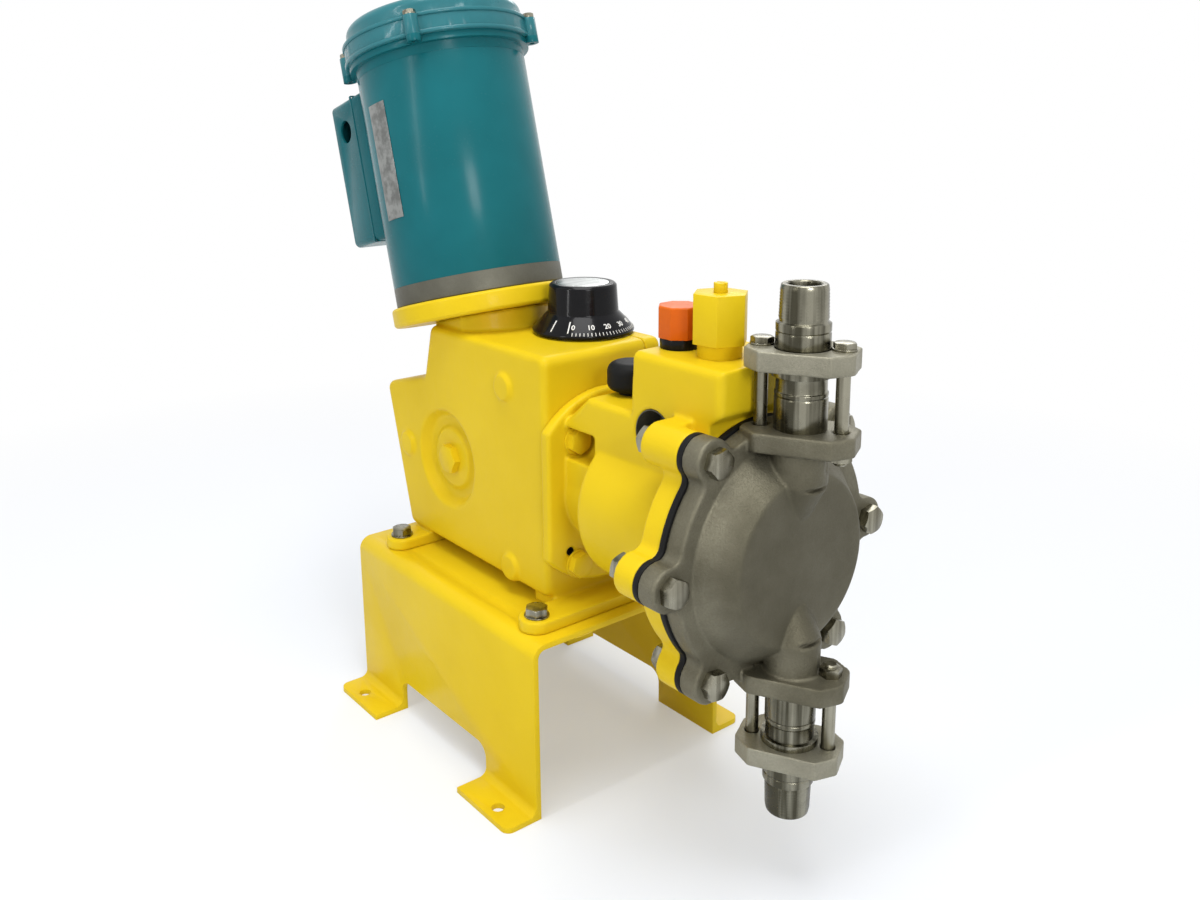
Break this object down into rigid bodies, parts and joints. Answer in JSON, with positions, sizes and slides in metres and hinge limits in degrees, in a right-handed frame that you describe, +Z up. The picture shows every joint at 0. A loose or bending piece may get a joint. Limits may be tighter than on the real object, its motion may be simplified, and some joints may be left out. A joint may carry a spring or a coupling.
{
  "type": "diaphragm metering pump",
  "caption": "Motor-driven hydraulic diaphragm metering pump with tilted motor, worm gearbox on a bent stand, round liquid head and vertical ball check valves.",
  "frame": {"origin": "floor level at the middle of the stand's four foot holes", "axes": "+X along the pump axis towards the liquid head, +Z up"},
  "size_m": [0.617, 0.266, 0.665],
  "materials": {
    "yellow_paint": "thick glossy enamel",
    "teal_paint": "gloss enamel",
    "bare_iron": "bare turned iron",
    "cast_stainless": "as cast, bead blasted",
    "turned_stainless": "turned, bright",
    "zinc_steel": "plated fasteners",
    "gear_steel": "ground",
    "core_steel": "laminated",
    "copper": "enamelled wire",
    "bronze": "turned",
    "black_rubber": "matte",
    "white_plastic": "smooth",
    "black_plastic": "gloss, moulded",
    "orange_plastic": "satin, moulded",
    "bright_plate": "brushed plate"
  },
  "bodies": {
    "frame": {"stand": "yellow_paint", "lug_bolts": "zinc_steel", "gearbox_housing": "yellow_paint", "side_cover": "yellow_paint", "cover_bolts": "yellow_paint", "inspection_plug": "yellow_paint", "motor_adapter": "yellow_paint", "motor_bolts": "zinc_steel", "drive_end_bell": "bare_iron", "motor_frame": "teal_paint", "fan_end_bell": "teal_paint", "fan_cover": "teal_paint", "stator_core": "core_steel", "stator_windings": "copper", "motor_bearings": "gear_steel", "conduit_box": "teal_paint", "nameplate": "bright_plate", "worm_bearings": "gear_steel", "crank_bearings": "gear_steel", "plunger_liner": "bronze", "plunger_seal": "black_rubber", "hydraulic_body": "yellow_paint", "hydraulic_body_bolts": "yellow_paint", "contour_plate": "gear_steel", "diaphragm": "white_plastic", "clamp_ring": "black_rubber", "liquid_head": "cast_stainless", "head_bolts": "zinc_steel", "head_nuts": "zinc_steel", "discharge_valve_body": "turned_stainless", "discharge_seat": "turned_stainless", "discharge_ball_stop": "turned_stainless", "discharge_clamp": "cast_stainless", "suction_valve_body": "turned_stainless", "suction_seat": "turned_stainless", "suction_ball_stop": "turned_stainless", "suction_clamp": "cast_stainless", "valve_tie_bolts": "zinc_steel", "spindle_bush": "bronze", "filler_neck": "black_plastic", "relief_valve_body": "yellow_paint", "breather": "black_rubber"},
    "motor_rotor": {"rotor_core": "core_steel", "motor_shaft": "gear_steel", "cooling_fan": "black_plastic", "shaft_coupling": "core_steel", "worm": "gear_steel"},
    "crank": {"worm_wheel": "bronze", "crankshaft": "gear_steel"},
    "rod": {"connecting_rod": "core_steel", "wrist_pin": "gear_steel"},
    "plunger": {"plunger_crosshead": "gear_steel"},
    "diaphragm_plate": {"diaphragm_insert": "turned_stainless"},
    "discharge_ball": {"discharge_ball": "turned_stainless"},
    "suction_ball": {"suction_ball": "turned_stainless"},
    "knob": {"capacity_knob": "black_plastic", "knob_disc": "bright_plate", "control_spindle": "gear_steel"},
    "filler_cap": {"filler_cap": "orange_plastic"},
    "relief_screw": {"relief_screw": "yellow_paint"}
  },
  "joints": [
    {"name": "motor_spin", "type": "hinge", "parent": "frame", "child": "motor_rotor", "pos_m": [-0.0706, 0, 0.3927], "axis": [-0.2588, 0, 0.9659], "continuous": true},
    {"name": "crank_spin", "type": "hinge", "parent": "frame", "child": "crank", "pos_m": [0.02036, 0, 0.258], "axis": [0, 1, 0], "continuous": true},
    {"name": "rod_pivot", "type": "hinge", "parent": "crank", "child": "rod", "pos_m": [0.03036, 0, 0.258], "axis": [0, 1, 0], "continuous": true},
    {"name": "plunger_slide", "type": "slide", "parent": "frame", "child": "plunger", "axis": [1, 0, 0], "range_m": [-0.02, 0]},
    {"name": "diaphragm_flex", "type": "slide", "parent": "frame", "child": "diaphragm_plate", "axis": [1, 0, 0], "range_m": [-0.003, 0.003], "stiffness_N_per_m": 3000},
    {"name": "discharge_ball_lift", "type": "slide", "parent": "frame", "child": "discharge_ball", "axis": [0, 0, 1], "range_m": [0, 0.004]},
    {"name": "suction_ball_lift", "type": "slide", "parent": "frame", "child": "suction_ball", "axis": [0, 0, 1], "range_m": [0, 0.004]},
    {"name": "knob_turn", "type": "hinge", "parent": "frame", "child": "knob", "pos_m": [0.045, 0.03, 0.3724], "axis": [0, 0, 1], "range_deg": [-300, 0]},
    {"name": "filler_cap_lift", "type": "slide", "parent": "frame", "child": "filler_cap", "axis": [0, 0, 1], "range_m": [0, 0.03]},
    {"name": "relief_screw_turn", "type": "hinge", "parent": "frame", "child": "relief_screw", "pos_m": [0.248, -0.009, 0.446], "axis": [0, 0, 1], "range_deg": [-360, 360]}
  ],
  "couplings": [
    {"joint": "crank_spin", "follows": "motor_spin", "ratio": -0.041667},
    {"joint": "rod_pivot", "follows": "motor_spin", "ratio": 0.041667}
  ]
}
